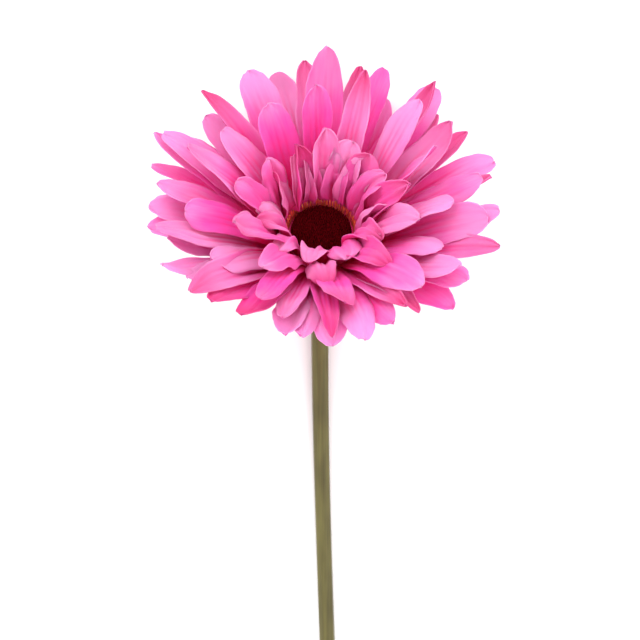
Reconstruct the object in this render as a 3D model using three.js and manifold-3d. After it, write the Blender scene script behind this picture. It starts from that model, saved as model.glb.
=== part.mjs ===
// A cut gerbera that lies on a table, in millimetres: +Z up, the table at z = 0, the bloom at the -Y end
// with its face turned up and forwards, and the stem lying along +Y to its cut end.
//
// The bloom is worked out in a frame of its own, whose origin is the middle of the disc's seat: x and y lie
// in the plane of the face, and z is the axis that the face looks along. "Around" is an angle about that
// axis, 90 degrees on the side of the bloom that is nearest the table.

import * as THREE from 'three';
import { mergeVertices } from 'three/addons/utils/BufferGeometryUtils.js';
import Module from 'manifold-3d';

const wasm = await Module();
wasm.setup();

const DEGREE = Math.PI / 180;
const GAP = 0.3; // between one piece and the piece that it rests on

// ---- How the flower lies ----
const FACE_TILT = 38; // the axis of the face, from the vertical
const FACE_TURN = 1; // and turned this far towards -X
const CALYX_DEPTH = 16; // from the disc's seat to the top of the stem
const NECK_RADIUS = 20; // the bend that brings the stem down to the table
const NECK_TURN = 90 - FACE_TILT;
const NECK_LENGTH = NECK_RADIUS * NECK_TURN * DEGREE;
const STEM_LENGTH = 339; // from the calyx to the cut end
const STEM_RADIUS = 2.9; // at the neck and at the cut end
const STEM_WAIST = 2.45; // in the thinnest stretch, below the neck
const STEM_SWAY = 2; // degrees that the lying stem wanders from +Y
const CUT_SLANT = 35; // of the cut across the stem
const STEM_SIDES = 12;
const NECK_STEPS = 8; // rings of the stem in the neck's bend
const LYING_STEPS = 22; // and along the table
const RESTING = Math.cos(Math.PI / STEM_SIDES); // a flat of the stem, not a corner, meets the table

const HEAD_CENTRE = new THREE.Vector3(
  -0.3,
  -145,
  (CALYX_DEPTH + GAP) * Math.cos(FACE_TILT * DEGREE)
    + NECK_RADIUS * (1 - Math.cos(NECK_TURN * DEGREE))
    + STEM_RADIUS * RESTING,
);

// ---- Petals ----
// Each layer, from the outside in, has count petals. Lengths and widths are in millimetres, and rises are
// degrees above the plane of the face: a petal's rise goes from riseRoot to riseTip, mostly towards the tip
// where bow is large. lean lifts the petals nearest the table and lowers those over the stem. cup and
// ruffle raise and wave the edges, as shares of the half width. A petal turns about its midrib by shingle,
// so that it slips under the next one, and by up to roll, and it turns aside by up to bend, all in degrees
// at the tip. wild multiplies the layer's spread in length, lift and curl. Some petals are pinched: they
// narrow to a point and fold lengthwise.
const LAYERS = [
  { count: 17, phase: 0.0, rootRadius: 9.0, rootHeight: -6.8, length: 49, width: 9.6, riseRoot: 31,
    riseTip: 15, bow: 1.7, lean: -5, cup: 0.28, ruffle: 0.10, roll: 12, shingle: 0, bend: 7, wild: 1 },
  { count: 17, phase: 0.5, rootRadius: 9.3, rootHeight: -5.5, length: 48.5, width: 9.8, riseRoot: 34,
    riseTip: 22, bow: 1.7, lean: 0, cup: 0.30, ruffle: 0.10, roll: 13, shingle: 0, bend: 7, wild: 1 },
  { count: 16, phase: 0.2, rootRadius: 9.6, rootHeight: -4.2, length: 49, width: 10.2, riseRoot: 38,
    riseTip: 33, bow: 1.7, lean: 8, cup: 0.32, ruffle: 0.12, roll: 15, shingle: 0, bend: 8, wild: 1 },
  { count: 14, phase: 0.7, rootRadius: 11.2, rootHeight: -2.6, length: 41, width: 10.4, riseRoot: 54,
    riseTip: 29, bow: 1.8, lean: 20, cup: 0.36, ruffle: 0.16, roll: 18, shingle: 6, bend: 12, wild: 1.2 },
  { count: 12, phase: 0.1, rootRadius: 12.6, rootHeight: -1.2, length: 28, width: 10.0, riseRoot: 78,
    riseTip: 24, bow: 2.2, lean: 36, cup: 0.50, ruffle: 0.30, roll: 22, shingle: 12, bend: 16, wild: 1.5 },
  { count: 13, phase: 0.6, rootRadius: 11.9, rootHeight: -0.6, length: 22, width: 8.4, riseRoot: 91,
    riseTip: -26, bow: 2.7, lean: 16, cup: 0.60, ruffle: 0.34, roll: 26, shingle: 14, bend: 20, wild: 1.8 },
];
const PETAL_OUTLINE = { claw: 0.40, broadest: 0.66, point: 2.9, tip: 0.36 };
const COLLAR_OUTLINE = { claw: 0.62, broadest: 0.66, point: 2.8, tip: 0.42 };
const PETAL_THICKNESS = 0.7;
const SPREAD = { around: 0.22, length: 0.09, width: 0.14, lift: 4, curl: 7, cup: 0.6, point: 0.9 };
const TWIST = 45; // degrees by which the most twisted petal turns about its midrib, where most hardly do
const PINCH = 0.55; // share of its width that the most pinched petal has lost at its tip
const PINCH_FROM = 0.4; // petals whose draw is below this aren't pinched
const PINCH_TO = 0.9; // and those above this are pinched in full
const PINCH_FOLD = 1.5; // how much a pinched petal's edges rise, for each share of width that it loses
const CUP_LEAN = 0.9; // share of the cup that turns over from the table's side to the stem's
const CUP_FADE = 0.4; // share of the cup that a petal has lost at its tip
const OPENING = 1.3; // a petal opens from its claw more slowly the larger this is
const LEAN_AT_ROOT = 0.3; // share of the lean that a petal already has at its root
const WAVES = 1.4; // ruffles along each edge
const WAVE_LAG = 2.1; // radians that one edge's ruffles lag behind the other's
const MIDRIB_STEPS = 24;
const LONG_STEPS = [0, 8, 15, 21, 24];
const SHORT_STEPS = [0, 9, 17, 24];
const COLLAR = 4; // from this layer inwards the petals are the short ones of the collar
const PRESS = 1.0; // a petal that comes lower than this is pressed up by the table
const PRESSED = 0.25; // the middle of a petal that is pressed flat
const SEED = 7128;

// ---- The hub that the petals grow from, the calyx, the disc and its fringe ----
// Profiles are [radius, height] in the bloom's frame.
const HUB_PROFILE = [
  [0, -9], [8.0, -9], [11.4, -7], [13.2, -3.6], [13.9, -1.2], [13.2, 0.2], [11.0, 0.4], [0, 0],
];
const CALYX_PROFILE = [
  [0, -CALYX_DEPTH], [3.3, -CALYX_DEPTH], [5.6, -15], [8.2, -12.8], [9.6, -10.6], [9.8, -9.3], [0, -9.3],
];
const BRACTS = [
  { count: 14, phase: 0.0, rootRadius: 8.4, rootHeight: -10.6, length: 9.6, width: 4.4, riseRoot: 28,
    riseTip: 46, bow: 1.0, lean: 0, cup: 0.25, ruffle: 0, roll: 0, bend: 0 },
  { count: 10, phase: 0.5, rootRadius: 7.0, rootHeight: -12.8, length: 7.4, width: 4.0, riseRoot: 34,
    riseTip: 56, bow: 1.0, lean: 0, cup: 0.25, ruffle: 0, roll: 0, bend: 0 },
];
const BRACT_OUTLINE = { claw: 0.85, broadest: 0.3, point: 1.3, tip: 0.22 };
const BRACT_THICKNESS = 0.8;
const BRACT_STEPS = [0, 13, 24];

const DISC_RADIUS = 9.2;
const DISC_PROFILE = [
  [0, GAP], [DISC_RADIUS, GAP], [DISC_RADIUS, 1.3], [8.2, 2.1], [6.0, 2.7], [3.0, 2.8], [0, 2.5],
];
const FLORETS = 60;
const FLORET_RADIUS = 1.0;
const FLORET_HEIGHT = 1.5;
const GOLDEN_ANGLE = 137.508;

const FRINGE_INNER = DISC_RADIUS + GAP;
const FRINGE_OUTER = FRINGE_INNER + 1.0;
const FRINGE_BASE = 1.5; // height of the ring that the filaments stand on
const FRINGE_TIP = 2.7; // mean height of the filaments
const FRINGE_RAGGED = 0.4; // and how far they vary
const FILAMENTS = 36;
const HUB_SIDES = 24;
const SEAT_RADIUS = (FRINGE_OUTER + GAP) / Math.cos(Math.PI / HUB_SIDES); // no petal reaches inside this
const SEAT_HEIGHT = 6;
const FRINGE_LAYER = 9; // the fringe's own draws

// ---- Places ----

const headFrame = new THREE.Matrix4().compose(
  HEAD_CENTRE,
  new THREE.Quaternion().setFromEuler(
    new THREE.Euler(-FACE_TILT * DEGREE, 0, (180 - FACE_TURN) * DEGREE, 'ZXY'),
  ),
  new THREE.Vector3(1, 1, 1),
);

// A seeded draw from -1 to 1, the same each time for a layer, a petal and a trait.
function draw(layer, petal, trait) {
  const x = Math.sin(layer * 127.1 + petal * 311.7 + trait * 74.7 + SEED) * 43758.5453;
  return 2 * (x - Math.floor(x)) - 1;
}

// One petal's own traits.
function petalOf(layer, k, i) {
  const trait = (n) => draw(k, i, n);
  const outline = k < COLLAR ? PETAL_OUTLINE : COLLAR_OUTLINE;
  const around = (360 / layer.count) * (i + layer.phase + SPREAD.around * trait(0)) * DEGREE;
  const pinch = PINCH * THREE.MathUtils.smoothstep(trait(13), PINCH_FROM, PINCH_TO);
  const cupped = 1 - CUP_LEAN + CUP_LEAN * Math.sin(around) + SPREAD.cup * trait(7);
  return {
    ...layer,
    ...outline,
    around,
    pinch,
    length: layer.length * (1 + SPREAD.length * layer.wild * trait(1)),
    width: layer.width * (1 + SPREAD.width * trait(2)),
    lift: SPREAD.lift * layer.wild * trait(3),
    curl: SPREAD.curl * layer.wild * trait(4),
    roll: layer.shingle + layer.roll * trait(5) + TWIST * trait(14) ** 3,
    bend: layer.bend * trait(6),
    cup: layer.cup * cupped + PINCH_FOLD * pinch,
    wavePhase: Math.PI * trait(8),
    point: outline.point + SPREAD.point * trait(9),
  };
}

function bractOf(layer, i) {
  const around = (360 / layer.count) * (i + layer.phase) * DEGREE;
  return { ...layer, ...BRACT_OUTLINE, around, lift: 0, curl: 0, pinch: 0, wavePhase: 0 };
}

// Half the width of a petal at a share s of its length.
function halfWidth(petal, s) {
  const { claw, broadest, point, pinch } = petal;
  const opening = claw + (1 - claw) * Math.sin((Math.PI / 2) * Math.min(1, s / broadest)) ** OPENING;
  const closing = Math.sqrt(1 - Math.max(0, (s - broadest) / (1 - broadest)) ** point);
  return (petal.width / 2) * Math.max(petal.tip, opening * closing) * (1 - pinch * s * s);
}

// The petal's midrib: at each step a place, the way across the petal and the way up from its face.
function midrib(petal) {
  const frames = [];
  const place = new THREE.Vector3(
    petal.rootRadius * Math.cos(petal.around),
    petal.rootRadius * Math.sin(petal.around),
    petal.rootHeight,
  );
  for (let step = 0; step <= MIDRIB_STEPS; step += 1) {
    const s = step / MIDRIB_STEPS;
    const lean = petal.lean * Math.sin(petal.around) * (LEAN_AT_ROOT + (1 - LEAN_AT_ROOT) * s);
    const rise = (petal.riseRoot + (petal.riseTip - petal.riseRoot + petal.curl) * s ** petal.bow
      + petal.lift * s + lean) * DEGREE;
    const heading = petal.around + petal.bend * s * DEGREE;
    const roll = petal.roll * s * DEGREE;
    const along = new THREE.Vector3(
      Math.cos(rise) * Math.cos(heading),
      Math.cos(rise) * Math.sin(heading),
      Math.sin(rise),
    );
    const level = new THREE.Vector3(-Math.sin(heading), Math.cos(heading), 0);
    const across = level.clone().multiplyScalar(Math.cos(roll))
      .addScaledVector(new THREE.Vector3().crossVectors(along, level), Math.sin(roll));
    frames.push({ place: place.clone(), across, up: new THREE.Vector3().crossVectors(along, across) });
    place.addScaledVector(along, petal.length / MIDRIB_STEPS);
  }
  return frames;
}

// The table presses up what would reach below it.
function pressed(z) {
  const above = z - PRESSED;
  return PRESSED + (above > PRESS ? above : PRESS * Math.exp((above - PRESS) / PRESS));
}

// A point of a petal's middle surface in the part's frame, v running from -1 to 1 across it.
function petalPoint(petal, frames, step, v) {
  const s = step / MIDRIB_STEPS;
  const { place, across, up } = frames[step];
  const half = halfWidth(petal, s);
  const lag = v > 0 ? 0 : WAVE_LAG;
  const wave = petal.ruffle * Math.sin(2 * Math.PI * WAVES * s + petal.wavePhase + lag);
  const raised = half * v * v * (petal.cup * (1 - CUP_FADE * s) + wave * s);
  const point = place.clone().addScaledVector(across, half * v).addScaledVector(up, raised);
  point.applyMatrix4(headFrame);
  point.z = pressed(point.z);
  return point;
}

// ---- Solids ----

// A closed solid from shared vertices and triangles.
function solidFrom(points, triangles) {
  const vertProperties = new Float32Array(points.flatMap((p) => [p.x, p.y, p.z]));
  return new wasm.Manifold(
    new wasm.Mesh({ numProp: 3, vertProperties, triVerts: new Uint32Array(triangles.flat()) }),
  );
}

// A closed solid from a three.js geometry.
function solidOf(geometry) {
  const bare = geometry.clone();
  bare.deleteAttribute('normal');
  bare.deleteAttribute('uv');
  const merged = mergeVertices(bare, 1e-4);
  return new wasm.Manifold(new wasm.Mesh({
    numProp: 3,
    vertProperties: merged.attributes.position.array,
    triVerts: new Uint32Array(merged.index.array),
  }));
}

// A solid of revolution about the bloom's axis.
function turned(profile, sides) {
  const outline = profile.map(([radius, height]) => new THREE.Vector2(radius, height));
  return solidOf(new THREE.LatheGeometry(outline, sides).rotateX(Math.PI / 2).applyMatrix4(headFrame));
}

// A thin sheet of even thickness through a grid of points, split into triangles alike on both faces.
function sheet(grid, thickness) {
  const rows = grid.length;
  const columns = grid[0].length;
  const normalAt = (i, j) => {
    const along = grid[Math.min(rows - 1, i + 1)][j].clone().sub(grid[Math.max(0, i - 1)][j]);
    const across = grid[i][Math.min(columns - 1, j + 1)].clone().sub(grid[i][Math.max(0, j - 1)]);
    return along.cross(across).normalize();
  };
  const points = [];
  for (const side of [0.5, -0.5]) {
    for (let i = 0; i < rows; i += 1) {
      for (let j = 0; j < columns; j += 1) {
        points.push(grid[i][j].clone().addScaledVector(normalAt(i, j), side * thickness));
      }
    }
  }
  const top = (i, j) => i * columns + j;
  const under = (i, j) => rows * columns + top(i, j);
  const triangles = [];
  for (let i = 0; i + 1 < rows; i += 1) {
    for (let j = 0; j + 1 < columns; j += 1) {
      const corners = [[i, j], [i + 1, j], [i + 1, j + 1], [i, j + 1]];
      const [a, b, c, d] = corners.map(([m, n]) => top(m, n));
      const [e, f, g, h] = corners.map(([m, n]) => under(m, n));
      triangles.push([a, b, c], [a, c, d], [e, g, f], [e, h, g]);
    }
  }
  const rim = [];
  for (let i = 0; i + 1 < rows; i += 1) rim.push([i, 0]);
  for (let j = 0; j + 1 < columns; j += 1) rim.push([rows - 1, j]);
  for (let i = rows - 1; i > 0; i -= 1) rim.push([i, columns - 1]);
  for (let j = columns - 1; j > 0; j -= 1) rim.push([0, j]);
  rim.forEach(([i, j], n) => {
    const [m, o] = rim[(n + 1) % rim.length];
    triangles.push([top(i, j), under(i, j), under(m, o)], [top(i, j), under(m, o), top(m, o)]);
  });
  return solidFrom(points, triangles);
}

// A petal or a bract as a solid, from the steps along it and the shares across it where it has points.
function blade(petal, steps, shares, thickness) {
  const frames = midrib(petal);
  return sheet(steps.map((step) => shares.map((v) => petalPoint(petal, frames, step, v))), thickness);
}

// One body: hollows that the joining sealed are filled, and loose scraps are dropped.
function oneBody(solid) {
  return solid.decompose().reduce((best, body) => (body.volume() > best.volume() ? body : best));
}

function meshOf(name, solid, colour, roughness) {
  const { vertProperties, triVerts } = oneBody(solid).getMesh();
  const geometry = new THREE.BufferGeometry();
  geometry.setAttribute('position', new THREE.BufferAttribute(vertProperties, 3));
  geometry.setIndex(new THREE.BufferAttribute(triVerts, 1));
  const material = new THREE.MeshStandardMaterial({ color: colour, roughness, metalness: 0 });
  const mesh = new THREE.Mesh(geometry, material);
  mesh.name = name;
  return mesh;
}

// ---- The pieces ----

// All the petals in their layers, joined to the hub that they grow from.
function petals() {
  const blades = LAYERS.flatMap((layer, k) => Array.from({ length: layer.count }, (_, i) => (
    blade(petalOf(layer, k, i), k < COLLAR ? LONG_STEPS : SHORT_STEPS, [-1, 0, 1], PETAL_THICKNESS)
  )));
  const seat = turned([[0, 0], [SEAT_RADIUS, 0], [SEAT_RADIUS, SEAT_HEIGHT], [0, SEAT_HEIGHT]], HUB_SIDES);
  const table = solidOf(new THREE.BoxGeometry(400, 600, 20).translate(0, 0, -10));
  return wasm.Manifold.union([turned(HUB_PROFILE, HUB_SIDES), ...blades]).subtract(seat).subtract(table);
}

// The green cup under the petals, with two rows of pointed bracts.
function calyx() {
  const bracts = BRACTS.flatMap((layer) => Array.from({ length: layer.count }, (_, i) => (
    blade(bractOf(layer, i), BRACT_STEPS, [-1, 1], BRACT_THICKNESS)
  )));
  return wasm.Manifold.union([turned(CALYX_PROFILE, HUB_SIDES), ...bracts]);
}

// The height of the disc's dome at a radius.
function domeHeight(radius) {
  const rising = DISC_PROFILE.slice(2).reverse();
  const n = rising.findIndex(([r]) => r >= radius);
  const [[r0, z0], [r1, z1]] = [rising[n - 1], rising[n]];
  return z0 + ((z1 - z0) * (radius - r0)) / (r1 - r0);
}

// The dark disc, its florets set in the spiral of a seed head.
function disc() {
  const florets = Array.from({ length: FLORETS }, (_, i) => {
    const radius = (DISC_RADIUS - FLORET_RADIUS - 0.1) * Math.sqrt((i + 0.5) / FLORETS);
    const around = i * GOLDEN_ANGLE * DEGREE;
    const bud = new THREE.ConeGeometry(FLORET_RADIUS, FLORET_HEIGHT, 4);
    bud.rotateX(Math.PI / 2).rotateZ(around);
    bud.translate(radius * Math.cos(around), radius * Math.sin(around), domeHeight(radius) + 0.2);
    return solidOf(bud.applyMatrix4(headFrame));
  });
  return wasm.Manifold.union([turned(DISC_PROFILE, HUB_SIDES), ...florets]);
}

// The ring of short filaments round the disc: a ring whose top rises to a tip at every second step.
function discFringe() {
  const section = [
    [FRINGE_INNER, GAP], [FRINGE_OUTER, GAP], [FRINGE_OUTER, FRINGE_BASE], [FRINGE_INNER, FRINGE_BASE],
    [FRINGE_INNER, GAP],
  ];
  const outline = section.map(([radius, height]) => new THREE.Vector2(radius, height));
  const ring = new THREE.LatheGeometry(outline, 2 * FILAMENTS).rotateX(Math.PI / 2);
  const { position } = ring.attributes;
  for (let n = 0; n < position.count; n += 1) {
    const around = Math.atan2(position.getY(n), position.getX(n));
    const step = Math.round((around / Math.PI) * FILAMENTS);
    const height = FRINGE_TIP + FRINGE_RAGGED * draw(FRINGE_LAYER, Math.abs(step), 0);
    if (position.getZ(n) > GAP + 0.1 && step % 2) position.setZ(n, height);
  }
  return solidOf(ring.applyMatrix4(headFrame));
}

function stemRadius(gone) {
  const s = gone / STEM_LENGTH;
  return STEM_RADIUS + (STEM_WAIST - STEM_RADIUS) * Math.sin(Math.PI * Math.min(1, s / 0.7));
}

// The stem's direction at a distance from the calyx: round the neck's bend, then along the table.
function stemFrame(gone) {
  const unbent = Math.max(0, 1 - gone / NECK_LENGTH);
  const lying = Math.max(0, gone - NECK_LENGTH) / (STEM_LENGTH - NECK_LENGTH);
  const pitch = -NECK_TURN * unbent * DEGREE;
  const heading = (FACE_TURN * unbent - STEM_SWAY * Math.sin(1.6 * Math.PI * lying)) * DEGREE;
  const along = new THREE.Vector3(
    Math.cos(pitch) * Math.sin(heading),
    Math.cos(pitch) * Math.cos(heading),
    Math.sin(pitch),
  );
  const level = new THREE.Vector3(Math.cos(heading), -Math.sin(heading), 0);
  return { gone, along, level, up: new THREE.Vector3().crossVectors(level, along) };
}

// The rings of the stem, closer together in the bend, each with its place and direction.
function stemRings() {
  const place = new THREE.Vector3(0, 0, -(CALYX_DEPTH + GAP)).applyMatrix4(headFrame);
  const rings = [];
  for (let ring = 0; ring <= NECK_STEPS + LYING_STEPS; ring += 1) {
    const step = ring < NECK_STEPS ? NECK_LENGTH / NECK_STEPS : (STEM_LENGTH - NECK_LENGTH) / LYING_STEPS;
    const gone = Math.min(ring, NECK_STEPS) * (NECK_LENGTH / NECK_STEPS)
      + Math.max(0, ring - NECK_STEPS) * step;
    rings.push({ ...stemFrame(gone), place: place.clone() });
    place.addScaledVector(stemFrame(gone + step / 2).along, step);
  }
  return rings;
}

function stem() {
  const rings = stemRings();
  const last = rings.length - 1;
  const tube = new THREE.CylinderGeometry(1, 1, 1, STEM_SIDES, last).rotateY(Math.PI / STEM_SIDES);
  const { position } = tube.attributes;
  for (let n = 0; n < position.count; n += 1) {
    const ring = Math.round((0.5 - position.getY(n)) * last);
    const { gone, place, along, level, up } = rings[ring];
    const radius = stemRadius(gone);
    const height = position.getX(n) * radius;
    const point = place.clone().addScaledVector(level, position.getZ(n) * radius).addScaledVector(up, height);
    if (ring === last) point.addScaledVector(along, height * Math.tan(CUT_SLANT * DEGREE));
    point.z -= (STEM_RADIUS - radius) * RESTING;
    position.setXYZ(n, point.x, point.y, point.z);
  }
  return solidOf(tube);
}

const gerbera = new THREE.Group();
gerbera.add(meshOf('petals', petals(), 0xf06aa8, 0.6));
gerbera.add(meshOf('disc', disc(), 0x40040a, 0.9));
gerbera.add(meshOf('disc_fringe', discFringe(), 0xb8502a, 0.8));
gerbera.add(meshOf('calyx', calyx(), 0x6f7f3a, 0.6));
gerbera.add(meshOf('stem', stem(), 0x807648, 0.55));
export default gerbera;
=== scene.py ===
# %% [markdown]
# # A cut gerbera, lying on a table
#
# The flower is a bloom of six layers of satin petals round a dark velvet disc, a green calyx behind it and
# a long bare stem that ends in a slanting cut. It lies on a table: the stem runs along +Y and the neck bends
# up, so the face of the bloom looks upwards and a little forwards.
#
# Every piece is worked out from the same few sizes as the solid model that it dresses. A solid model keeps
# its petals coarse, with flat facets. Here each petal becomes a thin sheet with grooves, crumples and edges.

# %% Load the frame
import math

import bmesh
import bpy
from mathutils import Matrix, Vector, noise


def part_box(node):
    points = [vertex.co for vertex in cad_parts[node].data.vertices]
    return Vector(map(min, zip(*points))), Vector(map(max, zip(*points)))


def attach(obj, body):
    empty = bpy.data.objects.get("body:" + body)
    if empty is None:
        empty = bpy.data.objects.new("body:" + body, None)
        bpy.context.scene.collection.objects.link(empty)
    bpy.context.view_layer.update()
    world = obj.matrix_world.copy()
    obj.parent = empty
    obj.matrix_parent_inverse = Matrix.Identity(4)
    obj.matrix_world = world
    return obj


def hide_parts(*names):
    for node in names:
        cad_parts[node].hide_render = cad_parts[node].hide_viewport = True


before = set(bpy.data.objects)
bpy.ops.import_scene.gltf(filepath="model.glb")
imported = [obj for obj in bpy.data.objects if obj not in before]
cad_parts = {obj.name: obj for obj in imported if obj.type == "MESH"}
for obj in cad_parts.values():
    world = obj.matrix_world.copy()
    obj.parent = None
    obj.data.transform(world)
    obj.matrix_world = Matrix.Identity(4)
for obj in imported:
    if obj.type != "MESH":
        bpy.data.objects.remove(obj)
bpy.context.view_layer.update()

# %% [markdown]
# ## Where the bloom stands
#
# The petals are simplest to describe in a frame of their own: its origin is the middle of the disc's seat,
# x and y lie in the plane of the face, and z is the way the face looks. One matrix then tilts and carries
# every point to its place. The alternative is to turn and move the finished objects, but a piece whose place
# is already in its mesh can be exported and baked without any surprise. Sizes here are in millimetres, and
# the last matrix turns them into Blender's metres.
#
# The height of the bloom follows from the calyx, the bend of the neck and the stem on the table. The solid
# stem has 12 flat sides and lies on one of them, so its middle is a little lower than its radius.

# %% The bloom's frame
MM = 0.001
GAP = 0.3
FACE_TILT = math.radians(38)
FACE_TURN = math.radians(1)
CALYX_DEPTH = 16
NECK_RADIUS = 20
STEM_RADIUS = 2.9
STEM_SIDES_IN_SOLID = 12
BLOOM_X = -0.3
BLOOM_Y = -145
DISC_RIM_MIDDLE = 1

NECK_TURN = math.pi / 2 - FACE_TILT
RESTING = math.cos(math.pi / STEM_SIDES_IN_SOLID)

bloom_z = (
    (CALYX_DEPTH + GAP) * math.cos(FACE_TILT)
    + NECK_RADIUS * (1 - math.cos(NECK_TURN))
    + STEM_RADIUS * RESTING
)
BLOOM = (
    Matrix.Translation((BLOOM_X, BLOOM_Y, bloom_z))
    @ Matrix.Rotation(math.pi - FACE_TURN, 4, "Z")
    @ Matrix.Rotation(-FACE_TILT, 4, "X")
)

disc_low, disc_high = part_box("disc")
middle = (disc_low + disc_high) / 2 / MM
expected = BLOOM @ Vector((0, 0, DISC_RIM_MIDDLE))
print("disc's middle, mm:", [round(x, 1) for x in middle], "expected:", [round(x, 1) for x in expected])

# %% [markdown]
# ## Chance that repeats
#
# No two petals of a real flower are alike, so each trait gets a small random part. A random generator gives
# other numbers as soon as one call is added before it. This draw depends only on which layer, petal and
# trait it is for, so a petal keeps its shape whatever else changes, and it is the same in the solid model.
# It stretches the sine of a large number so far that only its last decimals count, and those look random.

# %% A seeded draw
SEED = 7128
LAYER_STEP, PETAL_STEP, TRAIT_STEP = 127.1, 311.7, 74.7
STRETCH = 43758.5453


def draw(layer, petal, trait):
    """A number from -1 to 1 that belongs to one trait of one petal."""
    x = math.sin(layer * LAYER_STEP + petal * PETAL_STEP + trait * TRAIT_STEP + SEED) * STRETCH
    return 2 * (x - math.floor(x)) - 1


def smoothstep(low, high, x):
    """Rises gently from 0 at low to 1 at high."""
    share = min(1, max(0, (x - low) / (high - low)))
    return share * share * (3 - 2 * share)


print("first draws:", [round(draw(0, 0, trait), 3) for trait in range(4)])

# %% [markdown]
# ## The petals' layers
#
# A gerbera's long ray petals overlap in rings, each a little steeper than the one outside it. Round the disc
# two rings of short ones stand up and flop outwards like a ruffled collar. Each ring is one row of numbers:
# lengths and widths in millimetres, and how steeply a petal leaves its root and ends, in degrees above the
# plane of the face. `lean` lifts the petals on the side nearest the table and lowers those over the stem,
# `roll` turns a petal about its midrib and `bend` sideways, `shingle` lays each one over its neighbour, and
# `wild` says how freely a layer's petals depart from its numbers.
#
# About a third of the petals of this flower are folded lengthwise towards a narrow tip, some only slightly.
# One draw decides how much of such a pinch a petal gets, and the pinch then narrows it, cups it and darkens
# its tip together, so that the three always agree. The cube in the twist keeps most petals flat and lets a
# few turn on edge.

# %% The layers, from the outside in
LAYERS = [
    dict(count=17, phase=0.0, root_radius=9.0, root_height=-6.8, length=49, width=9.6, rise_root=31,
         rise_tip=15, bow=1.7, lean=-5, cup=0.28, ruffle=0.10, roll=12, shingle=0, bend=7, wild=1),
    dict(count=17, phase=0.5, root_radius=9.3, root_height=-5.5, length=48.5, width=9.8, rise_root=34,
         rise_tip=22, bow=1.7, lean=0, cup=0.30, ruffle=0.10, roll=13, shingle=0, bend=7, wild=1),
    dict(count=16, phase=0.2, root_radius=9.6, root_height=-4.2, length=49, width=10.2, rise_root=38,
         rise_tip=33, bow=1.7, lean=8, cup=0.32, ruffle=0.12, roll=15, shingle=0, bend=8, wild=1),
    dict(count=14, phase=0.7, root_radius=11.2, root_height=-2.6, length=41, width=10.4, rise_root=54,
         rise_tip=29, bow=1.8, lean=20, cup=0.36, ruffle=0.16, roll=18, shingle=6, bend=12, wild=1.2),
    dict(count=12, phase=0.1, root_radius=12.6, root_height=-1.2, length=28, width=10.0, rise_root=78,
         rise_tip=24, bow=2.2, lean=36, cup=0.50, ruffle=0.30, roll=22, shingle=12, bend=16, wild=1.5),
    dict(count=13, phase=0.6, root_radius=11.9, root_height=-0.6, length=22, width=8.4, rise_root=91,
         rise_tip=-26, bow=2.7, lean=16, cup=0.60, ruffle=0.34, roll=26, shingle=14, bend=20, wild=1.8),
]
COLLAR = 4
RAY_OUTLINE = dict(claw=0.40, broadest=0.66, point=2.9)
COLLAR_OUTLINE = dict(claw=0.62, broadest=0.66, point=2.8)
SPREAD = dict(around=0.22, length=0.09, width=0.14, lift=4, curl=7, cup=0.6, point=0.9, twist=45, pinch=0.55)
CUP_EVEN, CUP_LEAN = 0.1, 0.9
PINCH_FROM, PINCH_TO = 0.4, 0.9
PINCH_CUP = 1.5
BLUSH_FROM, BLUSH_TO = 0.35, 0.95
PINCH_BLUSH = 1.6
LAYER_SEED, PETAL_SEED = 31.7, 7.3


def petal_of(k, i):
    """The traits of petal i of layer k. The last number of each draw is the trait's own."""
    layer = LAYERS[k]
    outline = RAY_OUTLINE if k < COLLAR else COLLAR_OUTLINE
    around = 2 * math.pi / layer["count"] * (i + layer["phase"] + SPREAD["around"] * draw(k, i, 0))
    pinch = SPREAD["pinch"] * smoothstep(PINCH_FROM, PINCH_TO, draw(k, i, 13))
    cup_share = CUP_EVEN + CUP_LEAN * math.sin(around) + SPREAD["cup"] * draw(k, i, 7)
    own = dict(
        around=around,
        length=layer["length"] * (1 + SPREAD["length"] * layer["wild"] * draw(k, i, 1)),
        width=layer["width"] * (1 + SPREAD["width"] * draw(k, i, 2)),
        lift=SPREAD["lift"] * layer["wild"] * draw(k, i, 3),
        curl=SPREAD["curl"] * layer["wild"] * draw(k, i, 4),
        roll=layer["shingle"] + layer["roll"] * draw(k, i, 5) + SPREAD["twist"] * draw(k, i, 14) ** 3,
        bend=layer["bend"] * draw(k, i, 6),
        cup=layer["cup"] * cup_share + PINCH_CUP * pinch,
        pinch=pinch,
        wave_phase=math.pi * draw(k, i, 8),
        point=outline["point"] + SPREAD["point"] * draw(k, i, 9),
        tip_curl=draw(k, i, 10),
        tone=draw(k, i, 11),
        blush=max(PINCH_BLUSH * pinch, smoothstep(BLUSH_FROM, BLUSH_TO, draw(k, i, 12))),
        seed=LAYER_SEED * k + PETAL_SEED * i,
        collar=k >= COLLAR,
    )
    return {**layer, **outline, **own}


print(sum(layer["count"] for layer in LAYERS), "petals in", len(LAYERS), "layers")

# %% [markdown]
# ## A petal's line and outline
#
# Two things say where a petal goes: the line of its midrib through space, and how wide it is along the way.
# The midrib is walked in small steps, each a little less steep than the last, which gives an even bow. The
# outline opens from a narrow claw to its broadest place and closes in a blunt round tip. Throughout, `s`
# runs from 0 at the root to 1 at the tip, and `v` from -1 to 1 across the petal.

# %% Midrib and outline
MIDRIB_STEPS = 96
LEAN_AT_ROOT = 0.3
TIP_CURL = 30
TIP_START = 0.72
OPENING = 1.3
NARROWEST = 0.02


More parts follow.
